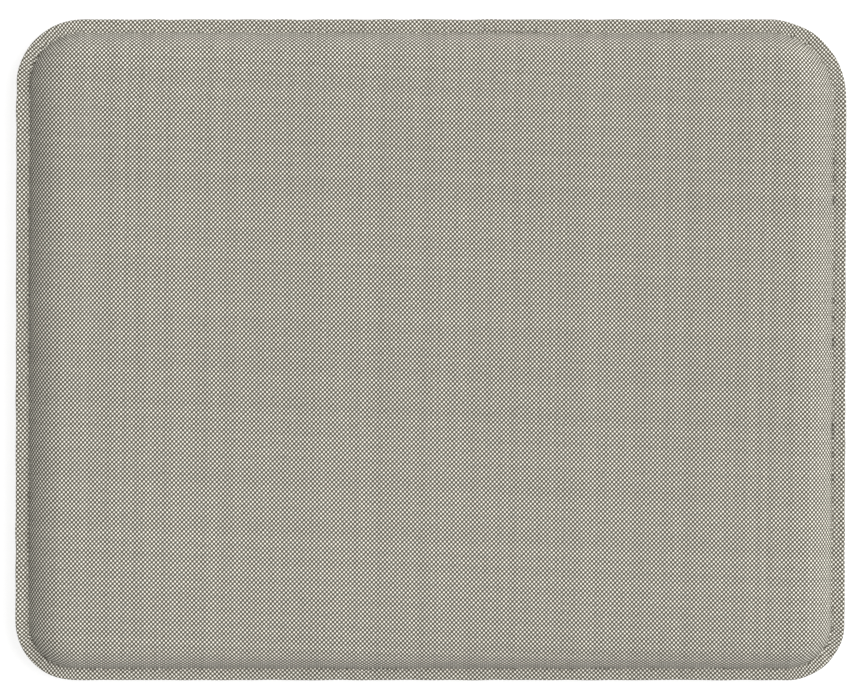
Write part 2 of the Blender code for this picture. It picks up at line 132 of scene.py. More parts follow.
# Rings between the even middle and the shoulder: inset, evenness, and density of points
TOP_APPROACH = ((0.0460, 1.0, 1), (0.0420, 0.66, 2), (0.0387, 0.3, 4), (0.0360, 0.08, 4))
ZIP_AROUND_INSET = 0.0374
UNDERSIDE_APPROACH = ((ZIP_AROUND_INSET, 1.0, 1), (0.0356, 0.3, 2))

# Each panel's density of points round its edge, and how many rings its shoulder has
TOP_DETAIL = (4, 22)
UNDERSIDE_DETAIL = (2, 16)
FILLING_STEPS = 10

# Where a skin's faces lie on its bake map: scale, then offset, outside and inside
OUTER_BAKE = (0.998, 0.001)
INNER_BAKE = (0.2, (0.01, 0.83))

# Weave
WARP_PITCH = 0.001157
WEFT_PITCH = 0.001250
WARP_LEAN = 0.0126
WEFT_SLOPE = 0.040
YARN_DRIFT = (0.9, 0.7)  # how far the warp and the weft wander slowly, in yarns
YARN_JITTER = 0.28
CREAM = (0.82, 0.80, 0.72, 1)
OLIVE = (0.093, 0.082, 0.057, 1)

# The other materials: the two colours that each is mixed from, and the pitch of what repeats
THREAD_COLOURS = ((0.30, 0.28, 0.23, 1), (0.46, 0.44, 0.37, 1))
THREAD_PLIES = 3
THREAD_TWIST = 0.0006
FOAM_COLOURS = ((0.13, 0.135, 0.14, 1), (0.19, 0.195, 0.20, 1))
WADDING_COLOURS = ((0.66, 0.66, 0.64, 1), (0.88, 0.88, 0.86, 1))
# The tape's first colour is painted shade in the grooves between its ribs, and the second is the
# ribs' crests
TAPE_GROOVE_SHADE_AND_RIB_COLOURS = ((0.075, 0.070, 0.052, 1), (0.135, 0.127, 0.098, 1))
TAPE_ZIGZAG = 0.0024
TAPE_RIB = 0.00042
TAPE_YARN = 0.00036
COIL_COLOURS = ((0.060, 0.056, 0.044, 1), (0.085, 0.080, 0.062, 1))
STEEL_COLOURS = ((0.52, 0.505, 0.475, 1), (0.60, 0.585, 0.555, 1))
LABEL_COLOURS = ((0.86, 0.86, 0.84, 1), (0.78, 0.775, 0.75, 1))
SATIN_PITCHES = (0.00022, 0.0007)

# Zip, where the CAD has it
TAPE_INNER_EDGE = 0.0004  # from the middle line of the zip
ZIP_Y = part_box("zip_tape_rear")[0][1] - TAPE_INNER_EDGE
OPENING_HALF_LENGTH = 0.173
OPENING_HALF_WIDTH = 0.006
OPENING_CORNER_RADIUS = 0.0045
LIP_TURN = 0.0060  # how far the cloth is turned in behind the lip
LIP_FLAT = 0.0040
RECESS_SPREAD = 0.0125  # where the recess round the zip begins
RECESS_SHARES = (0.1, 0.3, 0.5, 0.7, 0.9)
GROOVE_SPREAD = 0.0135
GROOVE_Z = 0.0095
GROOVE_EASE = 0.0006
LIP_FOLD_Z = 0.00585
PARTING = 0.00095
PARTING_START_X = 0.14795
PARTING_END_X = 0.15395
PARTING_HOLD = 0.0095  # past the slider, up to the stops
PARTING_STOPS = 40
COIL_PITCH = 0.0013
COIL_WIRE = 0.00062
COIL_OVERLAP = 0.00035
ZIP_STITCH_SPREAD = 0.0026
ZIP_STITCH_PITCH = 0.0030
ZIP_STITCH_LIFT = 0.0002
COIL_REACH = 0.00275
COIL_HEAD = 0.12  # how much thicker the wire is at its head
COIL_STEPS = 14
COIL_SIDES = 7

# Half a tape's section: distance from its inner or outer edge, and share of its thickness
TAPE_INNER = (
    (0, 0.0),
    (0.00015, 0.75),
    (0.0006, 1.0),
    (0.0016, 0.92),
    (0.0022, 0.62),
    (0.0030, 0.62),
)
TAPE_OUTER = ((0.0012, 0.62), (0.0004, 0.8), (0, 0.35))
TAPE_STOPS = 60
TAPE_CREASE = 50.0

# Bar tacks and label
BAR_THREAD = 0.00026
BAR_ZIGS = 22
BAR_STEPS = 6
LABEL_STOPS = (41, 25)
LABEL_CURL = 0.0005
LABEL_WAVE = 0.0001

# The zip's metal: how wide the eased edges of each CAD node are
EASED_EDGES = {
    "zip_slider": 0.00022,
    "zip_pull": 0.00028,
    "zip_bottom_stop": 0.0005,
    "zip_top_stop_rear": 0.0005,
    "zip_top_stop_front": 0.0005,
}
EASED_SEGMENTS = 3
EASED_ANGLE = 30.0
WELD_REACH = 0.00001


def smooth_step(low, high, value):
    """0 below low, 1 above high, with an easy curve between."""
    share = np.clip((value - low) / (high - low), 0, 1)
    return share * share * (3 - 2 * share)


def ripple(turn, wave):
    """A smooth closed wave round the pad."""
    size, slowest, fastest, seed = wave
    random = np.random.default_rng(seed)
    counts = random.integers(slowest, fastest, RIPPLES)
    phases = random.random(RIPPLES)
    waves = np.cos(math.tau * (np.outer(turn, counts) + phases))
    return size * waves.sum(1) / math.sqrt(RIPPLES)


def unit(vectors):
    return vectors / np.linalg.norm(vectors, axis=-1, keepdims=True)


# Node trees


class Value:
    """A number in a node tree. Arithmetic on it adds Math nodes."""

    def __init__(self, shader, socket):
        self.shader = shader
        self.socket = socket

    def then(self, operation, other=0.0):
        """One more Math node on this number."""
        inputs = {0: self, 1: other}
        return self.shader.node("Math", inputs, operation=operation).out()

    def __add__(self, other):
        return self.then("ADD", other)

    def __sub__(self, other):
        return self.then("SUBTRACT", other)

    def __mul__(self, other):
        return self.then("MULTIPLY", other)

    def __truediv__(self, other):
        return self.then("DIVIDE", other)

    def cosine(self):
        return self.then("COSINE")

    def ramp(self, low, high, to_low=0.0, to_high=1.0):
        """This number's way from low to high, eased, as to_low to to_high."""
        inputs = {"Value": self, "From Min": low, "From Max": high}
        inputs |= {"To Min": to_low, "To Max": to_high}
        return self.shader.node("MapRange", inputs, interpolation_type="SMOOTHSTEP").out()


class Node:
    """A shader node and its outputs."""

    def __init__(self, shader, node):
        self.shader = shader
        self.node = node

    def out(self, name=0):
        return Value(self.shader, self.node.outputs[name])


class Shader:
    """A material with a Principled shader, and short calls that add nodes to it."""

    def __init__(self, name, roughness, **settings):
        self.material = bpy.data.materials.new(name)
        self.material.use_nodes = True
        self.tree = self.material.node_tree
        self.principled = self.tree.nodes["Principled BSDF"]
        self.set("Roughness", roughness)
        for socket, value in settings.items():
            self.set(socket.replace("_", " "), value)

    def set(self, socket, value):
        self.feed(self.principled.inputs[socket], value)

    def feed(self, socket, value):
        if isinstance(value, Value):
            self.tree.links.new(value.socket, socket)
        else:
            socket.default_value = value

    def node(self, kind, inputs=None, **settings):
        made = self.tree.nodes.new("ShaderNode" + kind)
        for key, value in settings.items():
            setattr(made, key, value)
        for key, value in (inputs or {}).items():
            self.feed(made.inputs[key], value)
        return Node(self, made)

    def place(self, stretch=(1, 1, 1)):
        """Where a point is on its piece, in metres, stretched along each axis."""
        at = self.node("TexCoord").out("Object")
        scale = {"Vector": at, "Scale": stretch}
        return self.node("Mapping", scale).out()

    def mapped(self, name):
        """The two numbers of a map."""
        at = self.node("UVMap", uv_map=name).out()
        parts = self.node("SeparateXYZ", {0: at})
        return parts.out("X"), parts.out("Y")

    def joined(self, x, y, z=0.0):
        return self.node("CombineXYZ", {0: x, 1: y, 2: z}).out()

    def noise(self, at, scale, detail=2.0):
        inputs = {"Vector": at, "Scale": scale, "Detail": detail}
        return self.node("TexNoise", inputs).out("Fac")

    def chance(self, number):
        """An unrelated number from 0 to 1 for each whole number."""
        rounded = number.then("ROUND")
        inputs = {"W": rounded}
        return self.node("TexWhiteNoise", inputs, noise_dimensions="1D").out("Value")

    def mix(self, share, one, other):
        """Colour one where share is 0, and the other where it is 1."""
        inputs = {"Factor": share, 6: one, 7: other}
        return self.node("Mix", inputs, data_type="RGBA").out(2)

    def shade(self, colour, amount):
        """A colour made darker or lighter by a number."""
        inputs = {0: colour, 1: self.joined(amount, amount, amount)}
        return self.node("VectorMath", inputs, operation="MULTIPLY").out()

    def bump(self, height, depth, strength=1.0):
        inputs = {"Height": height, "Distance": depth, "Strength": strength}
        self.set("Normal", self.node("Bump", inputs).out())


def canvas_material():
    """Plain weave: cream warp over dark olive weft, one yarn over and one under, with painted
    shade in the valleys between the yarns.
    """
    shader = Shader("canvas", 0.88, Specular_IOR_Level=0.25)
    x, y = shader.mapped("Fabric")
    at = shader.joined(x, y)
    drift = shader.noise(at, 14.0, 1.0) - 0.5
    jitter = shader.noise(at, 330.0, 1.0) - 0.5
    across = (x - y * WARP_LEAN) / WARP_PITCH + drift * YARN_DRIFT[0] + jitter * YARN_JITTER
    along = (y + x * WEFT_SLOPE) / WEFT_PITCH + drift * YARN_DRIFT[1] - jitter * YARN_JITTER
    wave = (across * math.pi).cosine() * (along * math.pi).cosine()
    crown = wave.then("ABSOLUTE").then("POWER", 0.55)
    warp_up = wave.ramp(-0.26, 0.58)
    thick = (shader.chance(across) - 0.5) * 0.09 + (shader.chance(along + 4000) - 0.5) * 0.08
    streaks = shader.noise(shader.joined(across * 0.23, along * 0.012), 1.0, 3.0) - 0.5
    fibres_at = shader.joined(x * 2600.0, y * 700.0)
    fibres = shader.noise(fibres_at, 1.0, 2.0) - 0.5
    yarn = shader.mix(warp_up, OLIVE, CREAM)
    # Painted shade: the colour darkens in the valleys between the yarns' crowns; thick, streaks
    # and fibres are the yarns' own tone.
    light = crown * 0.54 + 0.60 + thick + streaks * 0.07 + fibres * 0.35
    shader.set("Base Color", shader.shade(yarn, light))
    shader.bump(crown + fibres * 0.3, 0.00022, 0.55)
    return shader.material


def thread_material():
    """Sewing thread in the cream of the cloth, three plies twisted together."""
    shader = Shader("thread", 0.6, Specular_IOR_Level=0.3)
    along, around = shader.mapped("Thread")
    twist = ((along / THREAD_TWIST + around * THREAD_PLIES) * math.tau).cosine()
    wear = shader.noise(shader.place(), 900.0, 3.0)
    colour = shader.mix(wear.ramp(0.3, 0.7), *THREAD_COLOURS)
    # Painted shade: the grooves between the twisted plies are painted darker.
    shader.set("Base Color", shader.shade(colour, twist * 0.14 + 0.86))
    shader.bump(twist, 0.00006, 0.8)
    return shader.material


def foam_material():
    """Open-celled grey foam, cut with a hot wire."""
    shader = Shader("foam", 0.95, Specular_IOR_Level=0.2)
    at = shader.place()
    cells = shader.node("TexVoronoi", {"Vector": at, "Scale": 1100.0}).out("Distance")
    mottle = shader.noise(at, 60.0, 4.0)
    colour = shader.mix(mottle.ramp(0.3, 0.7), *FOAM_COLOURS)
    # Painted shade: each open cell is painted darker towards its hollow middle.
    shader.set("Base Color", shader.shade(colour, cells.ramp(0.1, 0.6, 0.55, 1.05)))
    shader.bump(cells, 0.0004, 0.9)
    return shader.material


def wadding_material():
    """Bonded polyester fibre, white and loose."""
    shader = Shader("wadding", 0.9, Sheen_Weight=0.3, Specular_IOR_Level=0.25)
    at = shader.place()
    fibres = shader.noise(shader.place((1, 0.15, 1)), 900.0, 5.0)
    crossed = shader.noise(shader.place((0.15, 1, 1)), 900.0, 5.0)
    mat = fibres + crossed + shader.noise(at, 70.0, 3.0)
    shader.set("Base Color", shader.mix((mat / 3.0).ramp(0.35, 0.65), *WADDING_COLOURS))
    shader.bump(mat, 0.0005, 0.8)
    return shader.material


def tape_material():
    """Zip tape: a fine, dense twill in dark olive."""
    shader = Shader("zip_tape", 0.8, Specular_IOR_Level=0.3)
    parts = shader.node("SeparateXYZ", {0: shader.place()})
    x, y = parts.out("X"), parts.out("Y")
    zigzag = (y / TAPE_ZIGZAG).then("PINGPONG", 1.0) * TAPE_ZIGZAG
    rib = ((x + zigzag) / TAPE_RIB * math.tau).cosine()
    yarn = (y / TAPE_YARN * math.tau).cosine()
    fuzz = shader.noise(shader.place(), 1500.0, 3.0) - 0.5
    # Painted shade: the ribs' grooves take the darker colour, and the colour dims between the
    # yarns; fuzz is the tape's own tone.
    colour = shader.mix(rib.ramp(-1, 1), *TAPE_GROOVE_SHADE_AND_RIB_COLOURS)
    shader.set("Base Color", shader.shade(colour, yarn * 0.1 + 0.95 + fuzz * 0.4))
    shader.bump(rib + yarn * 0.6, 0.00005, 0.8)
    return shader.material


def coil_material():
    """Moulded nylon coil, smooth with faint drawing marks."""
    shader = Shader("zip_coil", 0.34, Specular_IOR_Level=0.5)
    along, around = shader.mapped("Thread")
    marks = shader.noise(shader.joined(along * 300.0, around * 9.0), 1.0, 2.0)
    shader.set("Base Color", shader.mix(marks.ramp(0.3, 0.7), *COIL_COLOURS))
    shader.set("Roughness", marks.ramp(0.2, 0.8, 0.28, 0.42))
    shader.bump(marks, 0.00002, 0.4)
    return shader.material


def steel_material():
    """Cast and tumbled zip metal: dull nickel, faintly mottled, with fine brush marks."""
    shader = Shader("zip_steel", 0.34, Metallic=1.0)
    at = shader.place()
    cast = shader.noise(at, 420.0, 5.0)
    brushed = shader.noise(shader.place((0.08, 1, 1)), 5200.0, 3.0)
    shader.set("Base Color", shader.mix(cast.ramp(0.3, 0.7), *STEEL_COLOURS))
    shader.set("Roughness", (cast * 0.5 + brushed * 0.5).ramp(0.25, 0.75, 0.26, 0.48))
    shader.bump(cast * 0.5 + brushed, 0.00003, 0.6)
    return shader.material


def label_material():
    """Blank white satin ribbon."""
    shader = Shader("label_cloth", 0.45, Sheen_Weight=0.2)
    parts = shader.node("SeparateXYZ", {0: shader.place()})
    x, y = parts.out("X"), parts.out("Y")
    warp, weft = SATIN_PITCHES
    satin = (x / warp * math.tau).cosine() + (y / weft * math.tau).cosine() * 0.5
    grime = shader.noise(shader.place(), 140.0, 4.0)
    colour = shader.mix(grime.ramp(0.35, 0.75), *LABEL_COLOURS)
    # Painted shade: the satin's grooves are painted slightly darker; grime is the ribbon's own
    # uneven tone.
    shader.set("Base Color", shader.shade(colour, satin * 0.03 + 0.97))
    shader.bump(satin, 0.00003, 0.6)
    return shader.material


def floor_material():
    """Matt white card, lit a little from below as on a light table."""
    shader = Shader("floor", 0.95, Specular_IOR_Level=0.0, Emission_Strength=FLOOR_GLOW)
    shader.set("Emission Color", (1, 1, 1, 1))
    grain = shader.noise(shader.place(), 5.0, 3.0)
    darker = tuple(FLOOR_SHADE * part for part in FLOOR_COLOUR[:3]) + (1,)
    shader.set("Base Color", shader.mix(grain.ramp(0.3, 0.7), darker, FLOOR_COLOUR))
    return shader.material


# Meshes


def linked(name, data):
    """A new object in the scene."""
    made = bpy.data.objects.new(name, data)
    bpy.context.scene.collection.objects.link(made)
    return made


def at_height(flat, height):
    """Points at a height, or each at its own, given their places from above."""
    return np.column_stack((flat, np.broadcast_to(height, len(flat))))


def grid_faces(here, beside):
    """Quads between lines of numbered points and the lines beside them."""
    corners = (here[..., :-1, :], here[..., 1:, :], beside[..., 1:, :], beside[..., :-1, :])
    return np.stack(corners, -1).reshape(-1, 4)


def add_object(name, points, faces, material, maps):
    """A smooth mesh object. maps gives each map's two numbers for every face corner."""
    mesh = bpy.data.meshes.new(name)
    mesh.from_pydata(points.tolist(), [], faces)
    for title, values in maps.items():
        mesh.uv_layers.new(name=title).data.foreach_set("uv", np.ravel(values))
    mesh.materials.append(material)
    mesh.shade_smooth()
    return linked(name, mesh)


def hand_over(piece, node):
    """Attach a piece to the pad's body, and hide the CAD node that it stands for."""
    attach(piece, "pad")
    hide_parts(node)


def corner_centres(half_x, half_y, radii):
    """Centres of the corners: front right, rear right, rear left and front left."""
    signs = ((1, -1), (1, 1), (-1, 1), (-1, -1))
    return np.array([(a * (half_x - r), b * (half_y - r)) for (a, b), r in zip(signs, radii)])


def stations(half_x, half_y, radii, density):
    """Places round a rounded rectangle, evenly spaced on each side, anticlockwise.

    A place is its side, its share of the way along the straight between two corners,
    and the angle that it faces. The first is the middle of the front right corner.
    """
    centres = corner_centres(half_x, half_y, radii)
    sides, shares, turns = [], [], []
    for side, stops in enumerate(SIDE_STATIONS):
        angle = math.pi / 2 * side
        run = np.array((-math.sin(angle), math.cos(angle)))
        straight = float((centres[(side + 1) % 4] - centres[side]) @ run)
        first, last = radii[side], radii[(side + 1) % 4]
        arc, arc_end = first * math.pi / 4, last * math.pi / 4
        count = stops * density
        way = (arc + straight + arc_end) * np.arange(count) / count
        before, past = np.minimum(way - arc, 0), np.maximum(way - arc - straight, 0)
        sides.append(np.full(count, side))
        shares.append(np.clip((way - arc) / straight, 0, 1))
        turns.append(angle + before / first + past / last)
    return np.concatenate(sides), np.concatenate(shares), np.concatenate(turns)


def placed(places, half_x, half_y, radii):
    """Points of a rounded rectangle at these places."""
    sides, shares, turns = places
    centres, radii = corner_centres(half_x, half_y, radii), np.array(radii)
    after, share = (sides + 1) % 4, shares[:, None]
    centre = centres[sides] * (1 - share) + centres[after] * share
    radius = radii[sides] * (1 - shares) + radii[after] * shares
    return centre + radius[:, None] * facing(turns)


def facing(turns):
    return np.stack((np.cos(turns), np.sin(turns)), 1)


def drawn_in(inset):
    """The half sizes and corner radii of the pad's outline drawn in by inset."""
    radii = [max(radius - inset, INNER_CORNER_RADIUS) for radius in CORNER_RADII]
    return HALF_LENGTH - inset, HALF_WIDTH - inset, radii


def even_ring(inset, density):
    """The outline drawn in by inset, with its stations evenly spaced."""
    shape = drawn_in(inset)
    return placed(stations(*shape, density), *shape)


def zip_ring(spread):
    """The zip opening's outline, let out by spread, with a point nearest to each of the pad's."""
    centre = np.array((0, ZIP_Y))
    half = np.array((OPENING_HALF_LENGTH, OPENING_HALF_WIDTH)) - OPENING_CORNER_RADIUS
    around = even_ring(ZIP_AROUND_INSET, 1) - centre
    core = np.clip(around, -half, half)
    return centre + core + (OPENING_CORNER_RADIUS + spread) * unit(around - core)


def lean(points):
    """The pad isn't cut quite square. Moves points near its edge to suit, in a copy."""
    x, y = points[:, 0], points[:, 1]
    inset = np.minimum(HALF_LENGTH - np.abs(x), HALF_WIDTH - np.abs(y))
    share = 1 - smooth_step(*LEAN_INSETS, inset)
    across, back = 0.5 + x / (2 * HALF_LENGTH), 0.5 + y / (2 * HALF_WIDTH)
    slant = y * (LEAN_LEFT + (LEAN_RIGHT - LEAN_LEFT) * across)
    moved = points.copy()
    moved[:, 0] += share * (slant + LEFT_SHORT * (1 - across))
    moved[:, 1] -= share * REAR_SHORT * back
    return moved


class Edge:
    """The pad's edge at one density of stations, and the cover's profile round it."""

    def __init__(self, density):
        self.places = stations(HALF_LENGTH, HALF_WIDTH, CORNER_RADII, density)
        self.points = placed(self.places, HALF_LENGTH, HALF_WIDTH, CORNER_RADII)
        self.normals = facing(self.places[2])
        steps = np.roll(self.points, -1, axis=0) - self.points
        lengths = np.hypot(*steps.T)
        self.length = lengths.sum()
        self.turn = (np.cumsum(lengths) - lengths) / self.length
        self.width = self.varied(FLANGE_WIDTHS)
        self.drop = self.varied(FLANGE_DROPS)
        self.stitches = round(self.length / STITCH_PITCH)
        self.tight = np.cos(math.tau * self.turn * self.stitches)
        self.flange_wave = ripple(self.turn, FLANGE_WAVE)
        self.wobble = ripple(self.turn, EDGE_WOBBLE)

    def varied(self, sizes):
        """A size that differs on the right, rear, left and front."""
        right, rear, left, front = sizes
        x, y = self.normals.T
        return np.where(x > 0, right, left) * x**2 + np.where(y > 0, rear, front) * y**2

    def flat(self, inset):
        """Points at an inset, which may change round the edge."""
        sides, shares, _ = self.places
        inset = np.broadcast_to(inset, shares.shape)
        radii = np.array(CORNER_RADII)
        after = (sides + 1) % 4
        made = self.points - inset[:, None] * self.normals
        for corner, share in ((sides, 1 - shares), (after, shares)):
            extra = np.maximum(inset + INNER_CORNER_RADIUS - radii[corner], 0)
            signs = np.sign(corner_centres(HALF_LENGTH, HALF_WIDTH, CORNER_RADII))[corner]
            made += (extra * share)[:, None] * (self.normals - signs)
        return made

    def ring(self, inset, height):
        """Points at an inset and a height, either of which may change round the edge."""
        return at_height(self.flat(inset), height)

    def flange_z(self, inset, rise):
        """Height in the slightly bent and wavy flange, rise above its middle."""
        out = 1 - inset / self.width
        return SEAM_HEIGHT - self.drop * out + self.flange_wave * out**2 + rise

    def shoulder(self, side, steps):
        """The cover's face from the seam to its flat, as (inset, height) per ring."""
        start = self.flange_z(self.width, side * FLANGE_FACE)
        end = THICKNESS - CROWN_RISE if side > 0 else 0.0
        reach = SHOULDER_INSET - self.width
        power = 2 / self.varied(SHOULDER_RUN_POWERS)
        profile = []
        for step in range(steps + 1):
            angle = math.pi / 2 * step / steps
            inset = self.width + reach * (1 - abs(math.cos(angle)) ** power)
            rise = math.sin(angle) ** (2 / SHOULDER_RISE_POWER)
            profile.append((inset, start + (end - start) * rise))
        return profile

    def puckered(self, profile):
        """A shoulder's profile with the small folds that the seam draws into it."""
        pucker = ripple(self.turn, PUCKER)
        bow = ripple(self.turn, BOW)
        last = len(profile) - 1
        made = []
        for step, (inset, height) in enumerate(profile):
            share = step / last
            out = pucker * (1 - share) ** 2 * min(1, 6 * share) + bow * math.sin(math.pi * share)
            made.append((inset - out, height))
        return made

    def flange_top(self, side):
        """The flange's outer face from the seam to the fold, dented by its stitches."""
        line = self.width - STITCH_MARGIN
        insets = [self.width - STITCH_MARGIN * part for part in (0.5, 1.0, 1.6, 2.4)]
        last = insets[-1]
        insets += [last + (FOLD_RADIUS - last) * part for part in (0.3, 0.6, 0.85)]
        made = []
        for inset in insets:
            near = np.exp(-(((inset - line) / STITCH_DENT_WIDTH) ** 2))
            dent = STITCH_DENT * near * (1 - STITCH_PULL + STITCH_PULL * self.tight)
            made.append((inset, self.flange_z(inset, side * (FLANGE_FACE - dent))))
        return made

    def fold(self, side, radius, steps):
        """The round fold at the flange's edge, from its outer face to its inner one."""
        made = []
        for step in range(steps + 1):
            angle = math.pi * step / steps
            inset = FOLD_RADIUS - radius * math.sin(angle)
            rise = side * (FOLD_HEIGHT + radius * math.cos(angle))
            made.append((inset + self.wobble, self.flange_z(inset, rise)))
        return made

    def allowance(self, side):
        """One layer's turned-in edge, between the flange's outer layers."""
        low, high = LAYER_GAP / 2, LAYER_GAP / 2 + FABRIC
        places = ((0.5, low), (1.0, low), (1.0, high), (0.5, high))
        made = []
        for share, rise in places:
            inset = FLANGE_ALLOWANCE * share
            made.append((inset, self.flange_z(inset, side * rise)))
        return made

    def rings(self, profile):
        return [self.ring(inset, height) for inset, height in profile]


def inward(profile, side, depth):
    """A profile moved in from the cover's face by depth."""
    made = []
    for index, (inset, height) in enumerate(profile):
        before = profile[max(index - 1, 0)]
        after = profile[min(index + 1, len(profile) - 1)]
        run, rise = after[0] - before[0], after[1] - before[1]
        length = np.hypot(run, rise)
        made.append((inset + side * depth * rise / length, height - side * depth * run / length))
    made[-1] = (profile[-1][0], profile[-1][1] - side * depth)
    return made


def top_height(points, depth=0.0):
    """Height of the top's gentle crown, with the slight swell of its filling."""
    x, y = points[:, 0], points[:, 1]
    near = np.minimum(HALF_LENGTH - np.abs(x), HALF_WIDTH - np.abs(y))
    share = np.clip((near - SHOULDER_INSET) / CROWN_WIDTH, 0, 1)
    swell = np.cos(19 * x + 1.1) * np.cos(23 * y - 0.6) + 0.6 * np.cos(41 * x - 31 * y + 2.0)
    swell += 0.35 * np.cos(67 * x + 88 * y + 0.4)
    return THICKNESS - depth - CROWN_RISE * (1 - share) ** 2 - TOP_SWELL * share * (1 - swell / 2)


class Skin:
    """A closed surface gathered ring by ring, outwards on one face and back inside it."""

    def __init__(self):
        self.points, self.fabric, self.faces, self.inside = [], [], [], []
        self.count = 0
        self.inner = False

    def add(self, points, fabric=None):
        """Add points, and where each lies on the flat cloth. Returns their numbers."""
        self.points.append(points)
        self.fabric.append(points[:, :2] if fabric is None else fabric)
        self.count += len(points)
        return np.arange(self.count - len(points), self.count)

    def cover(self, faces):
        self.faces += faces.tolist()
        self.inside += [self.inner] * len(faces)

    def band(self, ring, other):
        """Faces between two rings, of which one may have half the other's points."""
        after, beyond = np.roll(ring, -1), np.roll(other, -1)
        if len(ring) == len(other):
            self.cover(np.stack((ring, other, beyond, after), 1))
        elif len(ring) < len(other):
            even, odd, next_even = other[::2], other[1::2], beyond[1::2]
            self.cover(np.stack((ring, even, odd), 1))
            self.cover(np.stack((ring, odd, after), 1))
            self.cover(np.stack((after, odd, next_even), 1))
        else:
            even, odd, next_even = ring[::2], ring[1::2], after[1::2]
            self.cover(np.stack((even, other, odd), 1))
            self.cover(np.stack((odd, other, beyond), 1))
            self.cover(np.stack((odd, beyond, next_even), 1))

    def cap(self, ring, raised, upwards=True):
        """Close a sparse ring with an even grid. raised(flat) puts its points at their height."""
        rows, columns = SIDE_STATIONS[0], SIDE_STATIONS[1]
        around = np.concatenate((ring, ring[:1]))
        flat = np.concatenate(self.points)[around][:, :2]
        ends = np.cumsum((0,) + SIDE_STATIONS)
        right, rear, left, front = [slice(a, b + 1) for a, b in zip(ends, ends[1:])]
        number = np.zeros((columns + 1, rows + 1), int)
        number[-1, :] = around[right]
        number[::-1, -1] = around[rear]
        number[0, ::-1] = around[left]
        number[:, 0] = around[front]
        u = np.linspace(0, 1, columns + 1)[:, None, None]
        v = np.linspace(0, 1, rows + 1)[None, :, None]
        low, high = flat[front][:, None], flat[rear][::-1][:, None]
        west, east = flat[left][::-1][None], flat[right][None]
        corners = (1 - u) * ((1 - v) * west[:, :1] + v * west[:, -1:])
        corners = corners + u * ((1 - v) * east[:, :1] + v * east[:, -1:])
        grid = (1 - v) * low + v * high + (1 - u) * west + u * east - corners
        inner = grid[1:-1, 1:-1].reshape(-1, 2)
        number[1:-1, 1:-1] = self.add(raised(inner)).reshape(columns - 1, -1)
        faces = grid_faces(number[:, :-1], number[:, 1:])
        self.cover(faces if upwards else faces[:, ::-1])

    def run(self, ring, rings, cloth=None):
        """Go on from a ring over more of them. Returns the last one's numbers."""
        for index, points in enumerate(rings):
            following = self.add(points, None if cloth is None else cloth[index])
            self.band(ring, following)
            ring = following
        return ring

    def build(self, name, material, side=1):
        """The finished object, with the maps Fabric and OFBake."""
        points = lean(np.concatenate(self.points))
        fabric = np.concatenate(self.fabric)
        faces = [face if side > 0 else face[::-1] for face in self.faces]
        corners = np.concatenate([np.array(face) for face in faces])
        inside = np.repeat(self.inside, [len(face) for face in faces])
        spots = fabric[corners]
        low, high = fabric.min(0), fabric.max(0)
        span = (high - low)[0]
        baked = (spots - low) / span
        outer = baked * OUTER_BAKE[0] + OUTER_BAKE[1]
        inner = baked * INNER_BAKE[0] + np.array(INNER_BAKE[1])
        baked = np.where(inside[:, None], inner, outer)
        maps = {"Fabric": spots, "OFBake": baked}
        return add_object(name, points, faces, material, maps)


def approach(side, density, depth=0.0):
    """Rings of a face's middle, from its even part, or the zip, out to the shoulder."""
    made = []
    for inset, evenness, stops in TOP_APPROACH if side > 0 else UNDERSIDE_APPROACH:
        stops = min(stops, density)
        flat = even_ring(inset, stops) * evenness + EDGES[stops].flat(inset) * (1 - evenness)
        made.append(level(side, flat, depth))
    return made


def level(side, flat, depth=0.0):
    """Points of a face's middle at a depth behind it, given their places from above."""
    return at_height(flat, top_height(flat, depth) if side > 0 else depth)


def unrolled(profile, edge, reach, way):
    """Where each ring of a profile lay on the flat cloth, walking out (1) or back (-1).

    reach is how much further along the cloth than from above the first ring lies.
    """
    spots, before = [], profile[0]
    for inset, height in profile:
        run = before[0] - inset
        reach = reach + way * np.hypot(run, height - before[1]) - run
        spots.append(edge.flat(inset) + np.reshape(reach, (-1, 1)) * edge.normals)
        before = (inset, height)
    return spots, reach


def sewn_edge(edge, side, steps):
    """Rings over the shoulder and round the flange's fold, then back inside, with their cloth."""
    shoulder = edge.puckered(edge.shoulder(side, steps))
    turned = edge.allowance(side)
    outer = shoulder[::-1] + edge.flange_top(side)
    outer += edge.fold(side, FOLD_RADIUS, FOLD_STEPS) + turned[:2]
    outer_cloth, reach = unrolled(outer, edge, 0.0, 1)
    hem = edge.fold(side, LAYER_GAP / 2, HEM_STEPS)[::-1]
    lining = turned[2:] + hem + inward(shoulder, side, FABRIC)
    lining_cloth, _ = unrolled(lining, edge, reach, -1)
    return edge.rings(outer), outer_cloth, edge.rings(lining), lining_cloth


def panel(name, side, detail, material):
    """One face of the cover, from its middle out round the flange and back inside."""
    density, steps = detail
    skin = Skin()
    outer, outer_cloth, lining, lining_cloth = sewn_edge(EDGES[density], side, steps)
    middle = approach(side, density)
    if side > 0:
        ring = skin.add(middle[0])
        skin.cap(ring, lambda flat: level(1, flat))
        middle = middle[1:]
    else:
        lip = zip_lip(True)
        first = ring = skin.add(lip[0])
        middle = lip[1:] + middle
    ring = skin.run(ring, middle)
    ring = skin.run(ring, outer, outer_cloth)
    ring = skin.run(ring, lining[:1], lining_cloth)
    skin.inner = True
    ring = skin.run(ring, lining[1:], lining_cloth[1:])
    ring = skin.run(ring, approach(side, density, FABRIC)[::-1])
    if side > 0:
        skin.cap(ring, lambda flat: level(1, flat, FABRIC), upwards=False)
    else:
        ring = skin.run(ring, zip_lip(False))
        skin.band(ring, first)
    return skin.build(name, material, side)


def zip_rings(places):
    """Rings round the zip for (spread, height) places."""
    return [at_height(zip_ring(spread), height) for spread, height in places]


